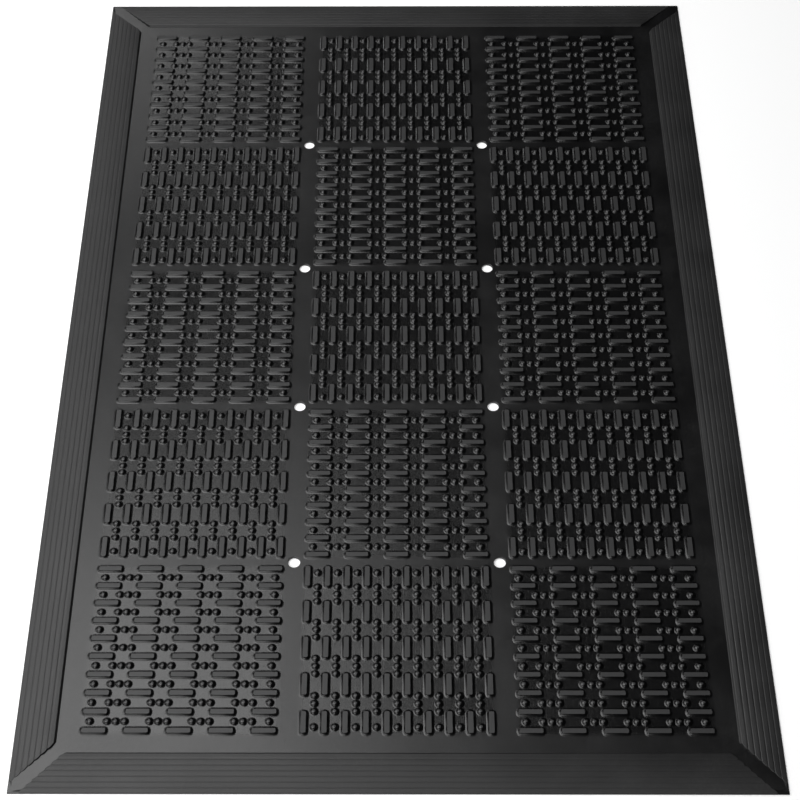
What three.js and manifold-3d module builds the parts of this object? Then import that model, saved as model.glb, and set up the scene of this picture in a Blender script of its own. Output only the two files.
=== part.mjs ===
// A moulded rubber doormat in one piece, in millimetres.
// It lies on the floor with +Z up, its length along Y and its width along X.
// The origin is the centre of the flat underside.
//
// A thin panel carries blocks of raised scraper bars. The bars run along X in one block and
// along Y in the next, like a chessboard. Four ribbed ramps frame the panel. Each ramp rises
// from a thin outer lip to a crest that stands above the panel. The ramps stop short of each
// other at the corners, so a flat channel runs out along each diagonal. Drain holes go through
// where the gaps between the blocks cross.
import * as THREE from "three";
import { mergeGeometries, mergeVertices } from "three/addons/utils/BufferGeometryUtils.js";
import Module from "manifold-3d";

// Scraper blocks
const COLUMNS = 3;
const ROWS = 5;
const BLOCK_SIDE = 154.6;
const COLUMN_GAP = 16.9;
const ROW_GAP = 7.4;
const SIDE_MARGIN = 17.7; // from the outer blocks to the side ramps
const END_MARGIN = 15.2; // from the outer blocks to the end ramps

// Scraper bars
const BARS_IN_LINE = 5; // end to end across a block
const BAR_LINES = 10; // side by side across a block
const BAR_LENGTH = 21.2;
const BAR_WIDTH = 5.8;
const BAR_HEIGHT = 2; // above the panel
const BAR_DRAFT = 1; // how far each side leans in from the foot to the top

// Panel and its drain holes
const PANEL_THICKNESS = 2;
const DRAIN_DIAMETER = 10;
const DRAIN_SIDES = 12;

// Ramps
const RAMP_WIDTH = 33.5;
const LIP_HEIGHT = 1; // at the outer edge
const CREST_RISE = 2; // the crest above the panel
const CREST_LEAN = 1.6; // how far the crest's inner face leans back
const RIB_COUNT = 7;
const GROOVE_WIDTH = 1.2;
const GROOVE_DEPTH = 0.3;
const CHANNEL_WIDTH = 10.5; // across the diagonal, between two ramps

// How far a raised piece starts below the surface that it grows from
const ROOT_DEPTH = 1;
// How far a cut runs past the surfaces that it goes through
const CUT_PAST = 2;

// Sizes that follow from the ones above
const columnPitch = BLOCK_SIDE + COLUMN_GAP;
const rowPitch = BLOCK_SIDE + ROW_GAP;
const panelWidth = COLUMNS * BLOCK_SIDE + (COLUMNS - 1) * COLUMN_GAP + 2 * SIDE_MARGIN;
const panelLength = ROWS * BLOCK_SIDE + (ROWS - 1) * ROW_GAP + 2 * END_MARGIN;
const matWidth = panelWidth + 2 * RAMP_WIDTH;
const matLength = panelLength + 2 * RAMP_WIDTH;
const crestHeight = PANEL_THICKNESS + CREST_RISE;
const barPitch = (BLOCK_SIDE - BAR_LENGTH) / (BARS_IN_LINE - 1);
const linePitch = (BLOCK_SIDE - BAR_WIDTH) / (BAR_LINES - 1);

const rubber = new THREE.MeshStandardMaterial({ color: 0x1b1b1c, roughness: 0.55, metalness: 0 });

const wasm = await Module();
wasm.setup();

// A closed three.js geometry as a solid that can be joined and cut.
function solidOf(geometry) {
  const bare = new THREE.BufferGeometry().setAttribute("position", geometry.getAttribute("position"));
  bare.setIndex(geometry.getIndex());
  const merged = mergeVertices(bare, 1e-4);
  return new wasm.Manifold(
    new wasm.Mesh({
      numProp: 3,
      vertProperties: new Float32Array(merged.getAttribute("position").array),
      triVerts: new Uint32Array(merged.getIndex().array),
    }),
  );
}

// The solid as a three.js geometry again.
function geometryOf(solid) {
  const mesh = solid.getMesh();
  const geometry = new THREE.BufferGeometry();
  geometry.setAttribute("position", new THREE.BufferAttribute(mesh.vertProperties, mesh.numProp));
  geometry.setIndex(new THREE.BufferAttribute(mesh.triVerts, 1));
  geometry.computeVertexNormals();
  return geometry;
}

// Evenly spaced places on both sides of zero.
function spaced(count, pitch) {
  return Array.from({ length: count }, (_, i) => (i - (count - 1) / 2) * pitch);
}

// A block that narrows upwards: its foot is length by width at z = 0, its top stands at height,
// leaned in by lean on every side, and its root reaches depth below z = 0 on the same slopes.
function taperedBlock(length, width, height, lean, depth) {
  const geometry = new THREE.BoxGeometry(length, width, height + depth);
  geometry.translate(0, 0, (height - depth) / 2);
  const position = geometry.getAttribute("position");
  for (let i = 0; i < position.count; i++) {
    const inset = (lean * position.getZ(i)) / height;
    position.setX(i, position.getX(i) - Math.sign(position.getX(i)) * inset);
    position.setY(i, position.getY(i) - Math.sign(position.getY(i)) * inset);
  }
  return geometry;
}

// The floor plate: the panel at its full thickness, with flanks that fall to the outer lip.
function plate() {
  const flank = taperedBlock(matWidth, matLength, PANEL_THICKNESS - LIP_HEIGHT, RAMP_WIDTH, 0);
  flank.translate(0, 0, LIP_HEIGHT);
  const foot = new THREE.BoxGeometry(matWidth, matLength, LIP_HEIGHT);
  foot.translate(0, 0, LIP_HEIGHT / 2);
  return solidOf(foot).add(solidOf(flank));
}

// The ramp's section: x runs in from the outer edge and y is the height. A groove parts each
// rib from the next.
function rampSection() {
  const crestRun = RAMP_WIDTH - CREST_LEAN;
  const ribPitch = crestRun / RIB_COUNT;
  const heightAt = (run) => LIP_HEIGHT + ((crestHeight - LIP_HEIGHT) * run) / crestRun;
  const section = new THREE.Shape();
  section.moveTo(0, 0);
  section.lineTo(0, LIP_HEIGHT);
  for (let rib = 1; rib < RIB_COUNT; rib++) {
    const run = rib * ribPitch;
    section.lineTo(run - GROOVE_WIDTH / 2, heightAt(run - GROOVE_WIDTH / 2));
    section.lineTo(run, heightAt(run) - GROOVE_DEPTH);
    section.lineTo(run + GROOVE_WIDTH / 2, heightAt(run + GROOVE_WIDTH / 2));
  }
  section.lineTo(crestRun, crestHeight);
  section.lineTo(RAMP_WIDTH, PANEL_THICKNESS);
  section.lineTo(RAMP_WIDTH, 0);
  return section;
}

// One ramp along Y, with its outer edge at x = 0 and its middle at y = 0. Its ends are cut on
// the diagonal, half a channel short of the corner.
function ramp(length) {
  const bar = new THREE.ExtrudeGeometry(rampSection(), { depth: length, bevelEnabled: false });
  bar.rotateX(Math.PI / 2);
  bar.translate(0, length / 2, 0);
  const setBack = CHANNEL_WIDTH / Math.SQRT2;
  const inner = RAMP_WIDTH + CUT_PAST;
  const outer = -CUT_PAST;
  const keep = new THREE.Shape();
  keep.moveTo(outer, -length / 2 + setBack + outer);
  keep.lineTo(inner, -length / 2 + setBack + inner);
  keep.lineTo(inner, length / 2 - setBack - inner);
  keep.lineTo(outer, length / 2 - setBack - outer);
  const mask = new THREE.ExtrudeGeometry(keep, { depth: crestHeight + 2 * CUT_PAST, bevelEnabled: false });
  mask.translate(0, 0, -CUT_PAST);
  return solidOf(bar).intersect(solidOf(mask));
}

// The four ramps round the plate.
function rampFrame() {
  const side = ramp(matLength);
  const end = ramp(matWidth);
  return side
    .translate([-matWidth / 2, 0, 0])
    .add(side.rotate([0, 0, 180]).translate([matWidth / 2, 0, 0]))
    .add(end.rotate([0, 0, 90]).translate([0, -matLength / 2, 0]))
    .add(end.rotate([0, 0, -90]).translate([0, matLength / 2, 0]));
}

// One block of scraper bars, centred on the origin with the bars' feet at z = 0. The bars run
// along X, and along Y where the block is turned.
function barBlock(turned) {
  const bars = [];
  for (const x of spaced(BARS_IN_LINE, barPitch)) {
    for (const y of spaced(BAR_LINES, linePitch)) {
      const bar = taperedBlock(BAR_LENGTH, BAR_WIDTH, BAR_HEIGHT, BAR_DRAFT, ROOT_DEPTH);
      bar.translate(x, y, 0);
      if (turned) bar.rotateZ(Math.PI / 2);
      bars.push(bar);
    }
  }
  return mergeGeometries(bars);
}

// All the scraper bars, standing on the panel.
function scraperBars() {
  const blocks = [];
  spaced(COLUMNS, columnPitch).forEach((x, column) => {
    spaced(ROWS, rowPitch).forEach((y, row) => {
      const block = barBlock((column + row) % 2 === 1);
      block.translate(x, y, PANEL_THICKNESS);
      blocks.push(block);
    });
  });
  return solidOf(mergeGeometries(blocks));
}

// The drain holes, one at each crossing of the gaps between the blocks.
function drains() {
  const cuts = [];
  for (const x of spaced(COLUMNS - 1, columnPitch)) {
    for (const y of spaced(ROWS - 1, rowPitch)) {
      const height = PANEL_THICKNESS + 2 * CUT_PAST;
      const cut = new THREE.CylinderGeometry(DRAIN_DIAMETER / 2, DRAIN_DIAMETER / 2, height, DRAIN_SIDES);
      cut.rotateX(Math.PI / 2);
      cut.translate(x, y, PANEL_THICKNESS / 2);
      cuts.push(cut);
    }
  }
  return solidOf(mergeGeometries(cuts));
}

const mat = new THREE.Mesh(geometryOf(plate().add(rampFrame()).add(scraperBars()).subtract(drains())), rubber);
mat.name = "mat";

const doormat = new THREE.Group();
doormat.add(mat);

export default doormat;
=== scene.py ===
import math

import bmesh
import bpy
from mathutils import Matrix, Vector


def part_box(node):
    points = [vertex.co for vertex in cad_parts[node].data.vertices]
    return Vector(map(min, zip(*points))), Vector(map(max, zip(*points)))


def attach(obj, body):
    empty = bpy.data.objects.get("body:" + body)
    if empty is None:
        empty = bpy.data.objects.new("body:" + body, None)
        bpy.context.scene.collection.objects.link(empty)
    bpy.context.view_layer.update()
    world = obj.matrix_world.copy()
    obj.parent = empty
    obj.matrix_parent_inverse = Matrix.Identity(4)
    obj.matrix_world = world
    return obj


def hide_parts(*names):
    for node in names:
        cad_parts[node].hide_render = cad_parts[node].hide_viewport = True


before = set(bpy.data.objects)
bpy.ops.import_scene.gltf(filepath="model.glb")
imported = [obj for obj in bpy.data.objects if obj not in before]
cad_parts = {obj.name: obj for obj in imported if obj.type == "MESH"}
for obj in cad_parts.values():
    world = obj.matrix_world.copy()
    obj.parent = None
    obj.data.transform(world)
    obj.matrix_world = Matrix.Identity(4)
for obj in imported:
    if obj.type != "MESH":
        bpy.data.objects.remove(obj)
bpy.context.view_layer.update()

mm = 0.001
matLow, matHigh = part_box("mat")
matWidth = matHigh[0] - matLow[0]
matLength = matHigh[1] - matLow[1]
print("frame loaded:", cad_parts["mat"].name, "is", round(matWidth, 4), "by", round(matLength, 4), "m")

# what the blocks, the bars, the pips and the holes are laid out on
layout = {
    "columns": 3,
    "rows": 5,
    "blockSide": 154.6 * mm,
    "columnGap": 16.9 * mm,
    "rowGap": 7.4 * mm,
    "panelTop": 2 * mm,
}
columnPitch = layout["blockSide"] + layout["columnGap"]
rowPitch = layout["blockSide"] + layout["rowGap"]


# camera: at the photograph's viewing angle, looking down on the near edge
camera = {
    "place": (-0.0070, -1.0387, 1.2910),
    "look": (-0.00655, 0.59861, -0.80101),
    "right": (0.99998, 0.00383, -0.00531),
    "lens": 81.43,
    "sensor": 36.0,
    "shift": (0.0292, 0.0015),
}


def addCamera():
    look = Vector(camera["look"]).normalized()
    right = Vector(camera["right"])
    right = (right - look * right.dot(look)).normalized()
    up = right.cross(look)
    data = bpy.data.cameras.new("camera")
    data.lens = camera["lens"]
    data.sensor_width = camera["sensor"]
    data.shift_x, data.shift_y = camera["shift"]
    seen = bpy.data.objects.new("camera", data)
    turn = Matrix((right, up, -look)).transposed().to_4x4()
    seen.matrix_world = Matrix.Translation(camera["place"]) @ turn
    bpy.context.collection.objects.link(seen)
    bpy.context.scene.camera = seen


addCamera()
print("camera set")


# rubber: satin black, with a fine grain, a thin uneven bloom of dust, and painted shade that keeps the
# blocks darker than the margins and gaps
rubber = {
    "specular": 0.5,
    "patchScale": 14.0,  # noise scale of the dusty patches
    "patchRange": (0.38, 0.68),
    "speckleScale": 420.0,
    "speckleRange": (0.45, 0.75),
    "speckleShare": 0.6,  # how much of the dust the speckle breaks up
    "sheltered": 0.0765,  # m from a block's middle, within which the rubber gets painted shade: little dust, so darker
    "shelteredEdge": 0.003,
    "shelteredDust": 0.1,
    "scuffScale": 90.0,
    "scuffStretch": 14.0,
    "scuffRange": (0.55, 0.8),
    "scuffSheen": 0.35,  # the scuffs' share of the change in gloss
    "scuffRelief": 0.8,
    "grainScale": 1400.0,
    "grainDepth": 0.00006,
    "grainStrength": 0.5,
}
# each finish: clean colour, dusty colour, lowest and highest roughness
finishes = {
    "mouldedRubber": ((0.0022, 0.0022, 0.0024, 1), (0.014, 0.014, 0.0143, 1), 0.23, 0.37),
    "rampRubber": ((0.009, 0.009, 0.0093, 1), (0.022, 0.022, 0.0224, 1), 0.36, 0.6),
    "wornRubber": ((0.022, 0.022, 0.0225, 1), (0.032, 0.032, 0.0325, 1), 0.5, 0.6),
}


def rubberMaterial(name):
    clean, dusty, roughLow, roughHigh = finishes[name]
    material = bpy.data.materials.new(name)
    material.use_nodes = True
    nodes, links = material.node_tree.nodes, material.node_tree.links
    shader = nodes["Principled BSDF"]
    shader.inputs["Specular IOR Level"].default_value = rubber["specular"]
    place = nodes.new("ShaderNodeTexCoord").outputs["Object"]

    def noise(scale, detail, vector=place, rough=0.5):
        made = nodes.new("ShaderNodeTexNoise")
        made.inputs["Scale"].default_value = scale
        made.inputs["Detail"].default_value = detail
        made.inputs["Roughness"].default_value = rough
        links.new(vector, made.inputs["Vector"])
        return made.outputs["Fac"]

    def ranged(value, low, high, toLow=0.0, toHigh=1.0):
        made = nodes.new("ShaderNodeMapRange")
        made.inputs["From Min"].default_value = low
        made.inputs["From Max"].default_value = high
        made.inputs["To Min"].default_value = toLow
        made.inputs["To Max"].default_value = toHigh
        links.new(value, made.inputs["Value"])
        return made.outputs["Result"]

    def combined(kind, first, second=0.0):
        made = nodes.new("ShaderNodeMath")
        made.operation = kind
        for socket, value in zip(made.inputs, (first, second)):
            if isinstance(value, (int, float)):
                socket.default_value = value
            else:
                links.new(value, socket)
        return made.outputs["Value"]

    # how far a place is from the nearest block's middle, along one direction
    def fromBlocks(along, pitch, count):
        among = combined("PINGPONG", along, pitch / 2)
        beyond = combined("SUBTRACT", combined("ABSOLUTE", along), (count - 1) / 2 * pitch)
        return combined("MAXIMUM", among, beyond)

    # dust lies in soft patches, broken up by a finer speckle
    patches = ranged(noise(rubber["patchScale"], 6, rough=0.65), *rubber["patchRange"])
    speckle = ranged(noise(rubber["speckleScale"], 3), *rubber["speckleRange"])
    broken = combined("MULTIPLY", speckle, rubber["speckleShare"])
    dustAndShade = combined("MULTIPLY", patches, combined("ADD", broken, 1 - rubber["speckleShare"]))
    # painted shade: inside each block the panel between the bars, and the bars and pips, keep only a tenth
    # of the dust, so they are darker than the margins and gaps
    spot = nodes.new("ShaderNodeSeparateXYZ")
    links.new(place, spot.inputs["Vector"])
    offAcross = fromBlocks(spot.outputs["X"], columnPitch, layout["columns"])
    offAlong = fromBlocks(spot.outputs["Y"], rowPitch, layout["rows"])
    off = combined("MAXIMUM", offAcross, offAlong)
    edge = rubber["shelteredEdge"]
    outsideBlocks = ranged(off, rubber["sheltered"] - edge, rubber["sheltered"] + edge)
    unshadedLift = combined("MULTIPLY", outsideBlocks, 1 - rubber["shelteredDust"])
    dustAndShade = combined("MULTIPLY", dustAndShade, combined("ADD", unshadedLift, rubber["shelteredDust"]))
    colour = nodes.new("ShaderNodeMix")
    colour.data_type = "RGBA"
    colour.inputs["A"].default_value = clean
    colour.inputs["B"].default_value = dusty
    links.new(dustAndShade, colour.inputs["Factor"])
    links.new(colour.outputs["Result"], shader.inputs["Base Color"])

    # faint scuffs, drawn out along the mat, dull the rubber as the dust does
    stretched = nodes.new("ShaderNodeMapping")
    stretched.inputs["Scale"].default_value = (rubber["scuffStretch"], 1, 1)
    links.new(place, stretched.inputs["Vector"])
    scuffs = ranged(noise(rubber["scuffScale"], 4, stretched.outputs["Vector"]), *rubber["scuffRange"])
    fromPatches = combined("MULTIPLY", patches, 1 - rubber["scuffSheen"])
    sheen = combined("ADD", fromPatches, combined("MULTIPLY", scuffs, rubber["scuffSheen"]))
    sheen = combined("SUBTRACT", combined("ADD", sheen, outsideBlocks), 1)
    links.new(ranged(sheen, -1, 1, roughLow, roughHigh), shader.inputs["Roughness"])

    grain = nodes.new("ShaderNodeBump")
    grain.inputs["Strength"].default_value = rubber["grainStrength"]
    grain.inputs["Distance"].default_value = rubber["grainDepth"]
    scratched = combined("MULTIPLY", scuffs, rubber["scuffRelief"])
    relief = combined("ADD", noise(rubber["grainScale"], 2), scratched)
    links.new(relief, grain.inputs["Height"])
    links.new(grain.outputs["Normal"], shader.inputs["Normal"])
    return material


mouldedRubber = rubberMaterial("mouldedRubber")
rampRubber = rubberMaterial("rampRubber")
wornRubber = rubberMaterial("wornRubber")
print("rubber mixed")


def newPiece(name, mesh):
    piece = bpy.data.objects.new(name, mesh)
    bpy.context.collection.objects.link(piece)
    return piece


# body: panel, drain holes, channels and ribbed ramps, all in one skin
ramps = {
    "width": 33.5 * mm,
    "lip": 1 * mm,
    "lipRound": 0.5 * mm,
    "crestRise": 2.0 * mm,
    "crestLean": 1.2 * mm,
    "crestRound": 0.8 * mm,
    "footRound": 0.6 * mm,
    "ribs": 7,
    "grooveHalf": 0.55 * mm,
    "grooveDepth": 0.17 * mm,
    "channel": 10.5 * mm,  # across the diagonal
    "endScallop": 1.1 * mm,
    "scallopFade": 3,  # groove half widths in which the scallop would fade out
    "endRound": 0.9 * mm,
    "lipSteps": 3,
    "crestSteps": 6,
    "footSteps": 4,
}
sharpFrom = math.radians(48)  # edges that turn by more than this stay crisp
touching = 1e-6  # m within which points count as one
holes = {"diameter": 10 * mm, "rim": 0.5 * mm, "rimSteps": 4, "sides": 48}

# how far a ramp's rounded end has risen, and how far it has run by then
endRise = ((0.0, 0.0), (0.04, 0.45), (0.16, 0.75), (0.4, 0.93), (1.0, 1.0))
# a groove's half, from its middle out, as shares of its half width and its depth
grooveShape = ((0.0, 1.0), (0.4, 0.72), (0.8, 0.25), (1.2, 0.0), (1.7, 0.0))


def floorHeight(run):
    return ramps["lip"] + (layout["panelTop"] - ramps["lip"]) * min(run / ramps["width"], 1)


def crestHeight():
    return layout["panelTop"] + ramps["crestRise"]


def rampHeight(run):
    return ramps["lip"] + (crestHeight() - ramps["lip"]) * run / (ramps["width"] - ramps["crestLean"])


# each point: run from the outer edge, height on the ramp, height on the channel's floor and
# how far the ramp's end draws back there
def rampProfile():
    pitch = (ramps["width"] - ramps["crestLean"]) / ramps["ribs"]
    half, deep = ramps["grooveHalf"], ramps["grooveDepth"]
    lip, turn = ramps["lip"], ramps["lipRound"]
    points = [(0, 0, 0, 1), (0, lip - turn, lip - turn, 1)]
    for step in range(1, ramps["lipSteps"] + 1):
        angle = math.pi / 2 * step / ramps["lipSteps"]
        run = turn * (1 - math.cos(angle))
        high = lip - turn * (1 - math.sin(angle))
        points.append((run, high, high, 1))
    for rib in range(ramps["ribs"]):
        start = rib * pitch
        last = rib == ramps["ribs"] - 1
        if rib > 0:
            for share, depth in grooveShape:
                run = start + share * half
                points.append((run, rampHeight(run) - depth * deep, None, 1 - share / ramps["scallopFade"]))
        middle = start + pitch / 2
        points.append((middle, rampHeight(middle), None, 0))
        if not last:
            for share, depth in reversed(grooveShape[1:]):
                run = start + pitch - share * half
                points.append((run, rampHeight(run) - depth * deep, None, 1 - share / ramps["scallopFade"]))
    # the crest turns over and falls to the panel
    rise = math.atan2(crestHeight() - ramps["lip"], ramps["width"] - ramps["crestLean"])
    fall = math.atan2(ramps["crestRise"], ramps["crestLean"])
    radius = ramps["crestRound"]
    corner = Vector((ramps["width"] - ramps["crestLean"], crestHeight()))
    reach = radius * math.tan((rise + fall) / 2)
    centre = corner - reach * Vector((math.cos(rise), math.sin(rise)))
    centre += radius * Vector((math.sin(rise), -math.cos(rise)))
    for step in range(ramps["crestSteps"] + 1):
        angle = rise - (rise + fall) * step / ramps["crestSteps"]
        spot = centre + radius * Vector((-math.sin(angle), math.cos(angle)))
        points.append((spot.x, spot.y, None, 1))
    foot = ramps["footRound"]
    reach = foot * math.tan(fall / 2)
    for step in range(ramps["footSteps"] + 1):
        angle = fall * (1 - step / ramps["footSteps"])
        run = ramps["width"] + reach - foot * math.sin(angle)
        points.append((run, layout["panelTop"] + foot * (1 - math.cos(angle)), None, 1))
    return [(r, h, min(h, floorHeight(r)) if f is None else f, s) for r, h, f, s in points]


# places along a ramp's end, from the diagonal inwards, each with how far the ramp has risen there
def rampStations(run, shift):
    start = ramps["channel"] / math.sqrt(2) + shift * ramps["endScallop"]
    return [(run, 0.0)] + [(run + start + out * ramps["endRound"], up) for out, up in endRise]


# one side of the border, from corner to corner; place turns run, along and height into a point
def addRamp(body, length, place):
    rows = []
    for run, high, low, shift in rampProfile():
        stations = rampStations(run, shift)
        whole = stations + [(length - along, up) for along, up in reversed(stations)]
        rise = high - low
        rows.append([body.verts.new(place(run, along, low + rise * up)) for along, up in whole])
    for lower, upper in zip(rows, rows[1:]):
        for i in range(len(lower) - 1):
            strip = body.faces.new((lower[i], lower[i + 1], upper[i + 1], upper[i]))
            strip.smooth = True
            # a strip's first and last faces are the channels' floor
            strip.material_index = 0 if i in (0, len(lower) - 2) else 1


# rings of a drain hole, from the rounded rim on the panel down to the underside
def holeRings(body, centre):
    radius, rim = holes["diameter"] / 2, holes["rim"]
    levels = []
    for step in range(holes["rimSteps"] + 1):
        angle = math.pi / 2 * step / holes["rimSteps"]
        wide = radius + rim * (1 - math.sin(angle))
        levels.append((wide, layout["panelTop"] - rim * (1 - math.cos(angle))))
    levels.append((radius, 0))
    rings = []
    for wide, high in levels:
        ring = []
        for i in range(holes["sides"]):
            angle = 2 * math.pi * i / holes["sides"]
            spot = (centre[0] + wide * math.cos(angle), centre[1] + wide * math.sin(angle), high)
            ring.append(body.verts.new(spot))
        rings.append(ring)
    for upper, lower in zip(rings, rings[1:]):
        for i in range(holes["sides"]):
            j = (i + 1) % holes["sides"]
            body.faces.new((upper[i], lower[i], lower[j], upper[j])).smooth = True


def spaced(count, pitch):
    return [(i - (count - 1) / 2) * pitch for i in range(count)]


def allAt(level, verts):
    return all(abs(vert.co.z - level) < touching for vert in verts)


def bodyMesh():
    body = bmesh.new()
    side, end = matWidth / 2, matLength / 2
    addRamp(body, matLength, lambda run, along, high: (-side + run, end - along, high))
    addRamp(body, matLength, lambda run, along, high: (side - run, along - end, high))
    addRamp(body, matWidth, lambda run, along, high: (along - side, -end + run, high))
    addRamp(body, matWidth, lambda run, along, high: (side - along, end - run, high))
    bmesh.ops.remove_doubles(body, verts=body.verts, dist=touching)
    for x in spaced(layout["columns"] - 1, columnPitch):
        for y in spaced(layout["rows"] - 1, rowPitch):
            holeRings(body, (x, y))
    # the panel and the underside fill what is open, and stay flat
    for level in (layout["panelTop"], 0):
        rim = [edge for edge in body.edges if edge.is_boundary and allAt(level, edge.verts)]
        bmesh.ops.triangle_fill(body, use_beauty=True, use_dissolve=False, edges=rim)
        for face in body.faces:
            if allAt(level, face.verts):
                face.smooth = False
    bmesh.ops.recalc_face_normals(body, faces=body.faces)
    for edge in body.edges:
        edge.smooth = edge.calc_face_angle(0) < sharpFrom
    mesh = bpy.data.meshes.new("matBody")
    body.to_mesh(mesh)
    body.free()
    return mesh


matBody = newPiece("matBody", bodyMesh())
matBody.data.materials.append(mouldedRubber)
matBody.data.materials.append(rampRubber)
print("body made:", len(matBody.data.polygons), "faces")


# bars and pips: each shape is modelled once and laid out by a node tree
bars = {
    "inLine": 5,
    "lines": 10,
    "length": 20.8 * mm,
    "width": 6.2 * mm,
    "corner": 2.0 * mm,
    "cornerSteps": 2,
    "height": 1.8 * mm,
    "draft": 0.9 * mm,
    "shoulder": 0.2 * mm,
    "shoulderRing": (0.25, 0.35),  # its middle outline, as shares down from the top and in from the side
    "flare": 1.8 * mm,
    "flareRise": 0.4 * mm,
}
pips = {
    "width": 6.0 * mm,
    "height": 2.0 * mm,
    "flare": 1.4 * mm,
    "flareRise": 0.35 * mm,
    "spacing": 6.9 * mm,
    "inGap": 3,
    "past": 3.8 * mm,  # from an outer bar's middle to the single pip at its side
    "cornerSteps": 3,
}
sunk = 0.5 * mm  # how far a foot reaches into the panel
footDip = 0.03 * mm  # how far a foot's outer edge dips under the panel's top, so that it leaves no step
footRings = (1, 0.55, 0.2, 0)  # outlines of a foot's sweep, as shares of its flare
pipRings = (22, 46, 70)  # degrees up a pip's dome
margin = 0.4 * mm  # from the outer bars' sides to the edge of their block
barPitch = (layout["blockSide"] - margin - bars["length"]) / (bars["inLine"] - 1)
linePitch = (layout["blockSide"] - margin - bars["width"]) / (bars["lines"] - 1)


# a closed boss with rounded corners, stacked from outlines
# levels give each outline's height and how far it draws in
def raisedMesh(name, length, width, corner, levels, cornerSteps):
    boss = bmesh.new()
    straightX, straightY = length / 2 - corner, width / 2 - corner
    isRound = straightX == 0 and straightY == 0
    rings = []
    for high, inset in levels:
        ring = []
        for quarter, (sideX, sideY) in enumerate(((1, 1), (-1, 1), (-1, -1), (1, -1))):
            for step in range(cornerSteps if isRound else cornerSteps + 1):
                angle = math.pi / 2 * (quarter + step / cornerSteps)
                x = sideX * straightX + (corner - inset) * math.cos(angle)
                y = sideY * straightY + (corner - inset) * math.sin(angle)
                ring.append(boss.verts.new((x, y, high)))
        rings.append(ring)
    count = len(rings[0])
    for lower, upper in zip(rings, rings[1:]):
        for i in range(count):
            j = (i + 1) % count
            boss.faces.new((lower[i], lower[j], upper[j], upper[i])).smooth = True
    boss.faces.new(reversed(rings[0]))
    boss.faces.new(rings[-1]).smooth = isRound
    mesh = bpy.data.meshes.new(name)
    mesh.materials.append(mouldedRubber)
    boss.to_mesh(mesh)
    boss.free()
    return mesh


# a foot's hollow sweep, from below the panel up to where the side begins
def flareLevels(flare, rise):
    levels = [(-sunk, -flare)]
    for out in footRings:
        levels.append((rise * (1 - out) ** 3 - footDip * out, -flare * out))
    return levels


def barLevels():
    top, turn, draft = bars["height"], bars["shoulder"], bars["draft"]
    down, inwards = bars["shoulderRing"]
    return flareLevels(bars["flare"], bars["flareRise"]) + [
        (top - turn, draft),
        (top - down * turn, draft + inwards * turn),
        (top, draft + turn),
    ]


def pipLevels():
    radius, rise = pips["width"] / 2, pips["flareRise"]
    levels = flareLevels(pips["flare"], rise)
    for degrees in pipRings:
        angle = math.radians(degrees)
        levels.append((rise + (pips["height"] - rise) * math.sin(angle), radius * (1 - math.cos(angle))))
    return levels


# an empty node tree that takes one shape and the named sizes
def newTree(name, sizes):
    tree = bpy.data.node_groups.new(name, "GeometryNodeTree")
    tree.interface.new_socket("Geometry", in_out="INPUT", socket_type="NodeSocketGeometry")
    for label, kind in sizes.items():
        tree.interface.new_socket(label, in_out="INPUT", socket_type=kind)
    tree.interface.new_socket("Geometry", in_out="OUTPUT", socket_type="NodeSocketGeometry")
    return tree, tree.nodes.new("NodeGroupInput"), tree.nodes.new("NodeGroupOutput")


# a node with its settings, whose sockets take a value or another node's output
def put(tree, kind, settings=None, **sockets):
    made = tree.nodes.new(kind)
    for label, value in (settings or {}).items():
        setattr(made, label, value)
    for label, value in sockets.items():
        key = int(label[2:]) if label.startswith("in") else label.replace("_", " ")
        socket = made.inputs[key]
        if isinstance(value, bpy.types.NodeSocket):
            tree.links.new(value, socket)
        else:
            socket.default_value = value
    return made.outputs


def calculate(tree, kind, first, second=0.0):
    return put(tree, "ShaderNodeMath", {"operation": kind}, in0=first, in1=second)[0]


# the shape on a grid of points, centred
def gridOf(tree, shape, countX, countY, pitchX, pitchY, **more):
    wide = calculate(tree, "MULTIPLY", calculate(tree, "SUBTRACT", countX, 1), pitchX)
    deep = calculate(tree, "MULTIPLY", calculate(tree, "SUBTRACT", countY, 1), pitchY)
    grid = put(
        tree, "GeometryNodeMeshGrid",
        Size_X=wide, Size_Y=deep, Vertices_X=countX, Vertices_Y=countY,
    )["Mesh"]
    return put(tree, "GeometryNodeInstanceOnPoints", Points=grid, Instance=shape, **more)["Instances"]


blockSizes = {
    "Columns": "NodeSocketInt",
    "Rows": "NodeSocketInt",
    "Column Pitch": "NodeSocketFloat",
    "Row Pitch": "NodeSocketFloat",
    "Turned": "NodeSocketInt",
}


# lays one block on every other square of the chequered panel; a turned block takes the squares between
def blocksTree():
    tree, given, result = newTree("chequered blocks", blockSizes)
    given = given.outputs
    index = put(tree, "GeometryNodeInputIndex")["Index"]
    column = calculate(tree, "FLOOR", calculate(tree, "DIVIDE", index, given["Rows"]))
    row = calculate(tree, "MODULO", index, given["Rows"])
    colour = calculate(tree, "MODULO", calculate(tree, "ADD", column, row), 2)
    chosen = calculate(tree, "COMPARE", colour, given["Turned"])
    quarter = calculate(tree, "MULTIPLY", given["Turned"], math.pi / 2)
    turn = put(tree, "ShaderNodeCombineXYZ", Z=quarter)["Vector"]
    blocks = gridOf(
        tree, given["Geometry"], given["Columns"], given["Rows"], given["Column Pitch"], given["Row Pitch"],
        Selection=chosen, Rotation=turn,
    )
    tree.links.new(blocks, result.inputs["Geometry"])
    return tree


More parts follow.
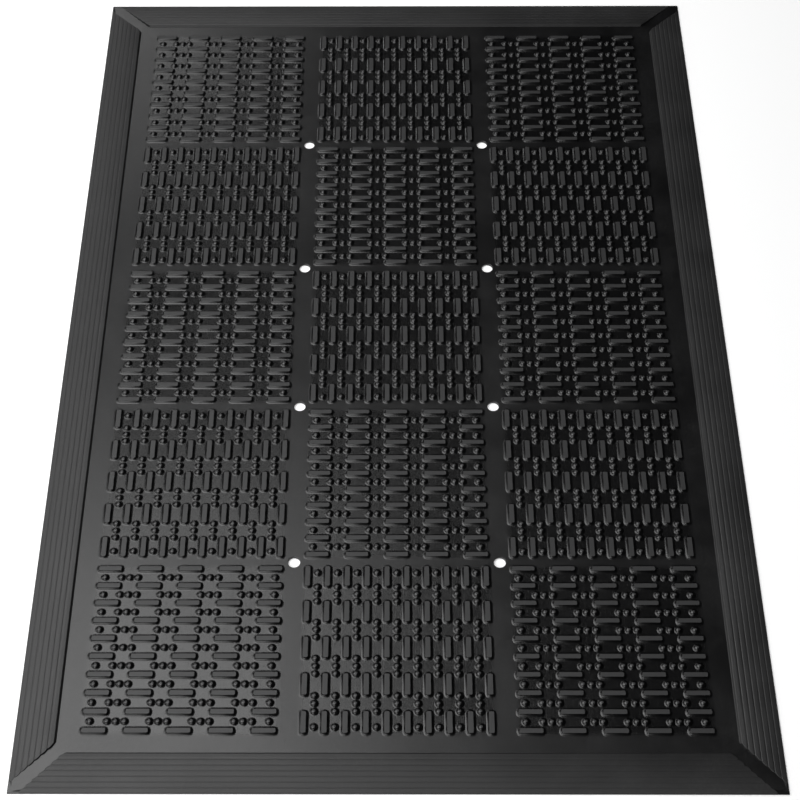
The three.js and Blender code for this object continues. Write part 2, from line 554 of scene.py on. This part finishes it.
# blocks, then realize and dress them
def finishTree(tree, given, result, block):
    laid = put(tree, "GeometryNodeGroup", {"node_tree": blocksGroup}, Geometry=block, **{
        label.replace(" ", "_"): given[label] for label in blockSizes
    })["Geometry"]
    lift = (0, 0, layout["panelTop"])
    lifted = put(tree, "GeometryNodeTransform", Geometry=laid, Translation=lift)["Geometry"]
    solid = put(tree, "GeometryNodeRealizeInstances", Geometry=lifted)["Geometry"]
    dressed = put(tree, "GeometryNodeSetMaterial", Geometry=solid, Material=mouldedRubber)["Geometry"]
    # shoes scuff the flat tops dull
    normal = put(tree, "GeometryNodeInputNormal")["Normal"]
    level = put(tree, "ShaderNodeSeparateXYZ", Vector=normal)["Z"]
    flat = calculate(tree, "GREATER_THAN", level, 0.999)
    worn = put(tree, "GeometryNodeSetMaterial", Geometry=dressed, Selection=flat, Material=wornRubber)
    tree.links.new(worn["Geometry"], result.inputs["Geometry"])
    return tree


lineSizes = {
    "In Line": "NodeSocketInt",
    "Lines": "NodeSocketInt",
    "Bar Pitch": "NodeSocketFloat",
    "Line Pitch": "NodeSocketFloat",
}
pipSizes = {"Pips In Gap": "NodeSocketInt", "Pip Spacing": "NodeSocketFloat", "Past": "NodeSocketFloat"}


def barTree():
    tree, given, result = newTree("scraper bars", lineSizes | blockSizes)
    given = given.outputs
    block = gridOf(
        tree, given["Geometry"], given["In Line"], given["Lines"], given["Bar Pitch"], given["Line Pitch"],
    )
    return finishTree(tree, given, result, block)


# groups of pips between the bars' ends, and one beside each outer bar, on lines midway between the bars'
def pipTree():
    tree, given, result = newTree("pips", lineSizes | pipSizes | blockSizes)
    given = given.outputs
    pip = given["Geometry"]
    lines = calculate(tree, "SUBTRACT", given["Lines"], 1)
    gaps = calculate(tree, "SUBTRACT", given["In Line"], 1)
    steps = calculate(tree, "SUBTRACT", given["Pips In Gap"], 1)
    reach = calculate(tree, "MULTIPLY", steps, given["Pip Spacing"])
    start = put(tree, "ShaderNodeCombineXYZ", X=calculate(tree, "MULTIPLY", reach, -0.5))["Vector"]
    step = put(tree, "ShaderNodeCombineXYZ", X=given["Pip Spacing"])["Vector"]
    row = put(
        tree, "GeometryNodeMeshLine", {"mode": "OFFSET"},
        Count=given["Pips In Gap"], Start_Location=start, Offset=step,
    )["Mesh"]
    group = put(tree, "GeometryNodeInstanceOnPoints", Points=row, Instance=pip)["Instances"]
    between = gridOf(tree, group, gaps, lines, given["Bar Pitch"], given["Line Pitch"])
    outer = calculate(tree, "MULTIPLY", gaps, given["Bar Pitch"])
    across = calculate(tree, "ADD", outer, calculate(tree, "MULTIPLY", given["Past"], 2))
    ends = gridOf(tree, pip, 2, lines, across, given["Line Pitch"])
    both = tree.nodes.new("GeometryNodeJoinGeometry")
    tree.links.new(between, both.inputs["Geometry"])
    tree.links.new(ends, both.inputs["Geometry"])
    return finishTree(tree, given, result, both.outputs["Geometry"])


blocksGroup = blocksTree()
sizes = {
    "Columns": layout["columns"],
    "Rows": layout["rows"],
    "Column Pitch": columnPitch,
    "Row Pitch": rowPitch,
    "In Line": bars["inLine"],
    "Lines": bars["lines"],
    "Bar Pitch": barPitch,
    "Line Pitch": linePitch,
    "Pips In Gap": pips["inGap"],
    "Pip Spacing": pips["spacing"],
    "Past": pips["past"],
}


# the shape laid out by the tree, as a plain mesh
def laidOut(name, shape, tree, turned):
    piece = newPiece(name, shape)
    layer = piece.modifiers.new("layout", "NODES")
    layer.node_group = tree
    for item in tree.interface.items_tree:
        if item.in_out == "INPUT" and item.name in sizes:
            layer[item.identifier] = sizes[item.name]
        if item.in_out == "INPUT" and item.name == "Turned":
            layer[item.identifier] = turned
    seen = piece.evaluated_get(bpy.context.evaluated_depsgraph_get())
    plain = bpy.data.meshes.new_from_object(seen)
    plain.name = name
    piece.modifiers.remove(layer)
    piece.data = plain
    print(name, "laid out:", len(plain.polygons), "faces")
    return piece


barShape = raisedMesh(
    "bar", bars["length"], bars["width"], bars["corner"], barLevels(), bars["cornerSteps"],
)
pipShape = raisedMesh(
    "pip", pips["width"], pips["width"], pips["width"] / 2, pipLevels(), pips["cornerSteps"],
)
barLayout, pipLayout = barTree(), pipTree()
tread = [
    laidOut("barsAcross", barShape, barLayout, 0),
    laidOut("barsAlong", barShape.copy(), barLayout, 1),
    laidOut("pipsAcross", pipShape, pipLayout, 0),
    laidOut("pipsAlong", pipShape.copy(), pipLayout, 1),
]

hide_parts("mat")
for piece in [matBody] + tread:
    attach(piece, "root")
print("pieces attached")


# studio: a pale floor and soft light, mostly from the left
studio = {
    "floorSize": 12.0,
    "floorDrop": 0.3 * mm,
    "floorColour": (0.9, 0.9, 0.9, 1),
    "floorGlow": 0.3,
    "world": (0.01, 0.01, 0.01, 1),
    "lights": [
        # name, place, aims at, width, height, watts
        ("left ceiling", (-1.0, 0.15, 2.0), (-1.0, 0.15, 0), 1.8, 1.9, 50),
        ("far ceiling", (-1.3, 2.9, 2.0), (-1.3, 2.9, 0), 1.6, 1.1, 22),
        ("behind left", (-1.2, -2.1, 1.3), (-0.3, 0, 0), 2.2, 1.4, 30),
        ("left wall", (-2.6, 0.1, 0.8), (0, 0.1, 0), 2.0, 1.3, 18),
    ],
}


def addFloor():
    side = studio["floorSize"] / 2
    mesh = bpy.data.meshes.new("floor")
    corners = [(-side, -side), (side, -side), (side, side), (-side, side)]
    mesh.from_pydata([(x, y, -studio["floorDrop"]) for x, y in corners], [], [(0, 1, 2, 3)])
    material = bpy.data.materials.new("floor")
    material.use_nodes = True
    shader = material.node_tree.nodes["Principled BSDF"]
    shader.inputs["Base Color"].default_value = studio["floorColour"]
    shader.inputs["Roughness"].default_value = 0.9
    shader.inputs["Emission Color"].default_value = studio["floorColour"]
    shader.inputs["Emission Strength"].default_value = studio["floorGlow"]
    mesh.materials.append(material)
    newPiece("floor", mesh)


def addLights():
    for name, place, aim, width, height, watts in studio["lights"]:
        data = bpy.data.lights.new(name, "AREA")
        data.shape = "RECTANGLE"
        data.size, data.size_y, data.energy = width, height, watts
        lamp = bpy.data.objects.new(name, data)
        lamp.location = place
        lamp.rotation_euler = (Vector(aim) - Vector(place)).to_track_quat("-Z", "Y").to_euler()
        bpy.context.collection.objects.link(lamp)
    world = bpy.data.worlds.new("studio")
    world.use_nodes = True
    world.node_tree.nodes["Background"].inputs["Color"].default_value = studio["world"]
    bpy.context.scene.world = world
    bpy.context.scene.view_settings.view_transform = "Standard"


addFloor()
addLights()
print("studio lit")
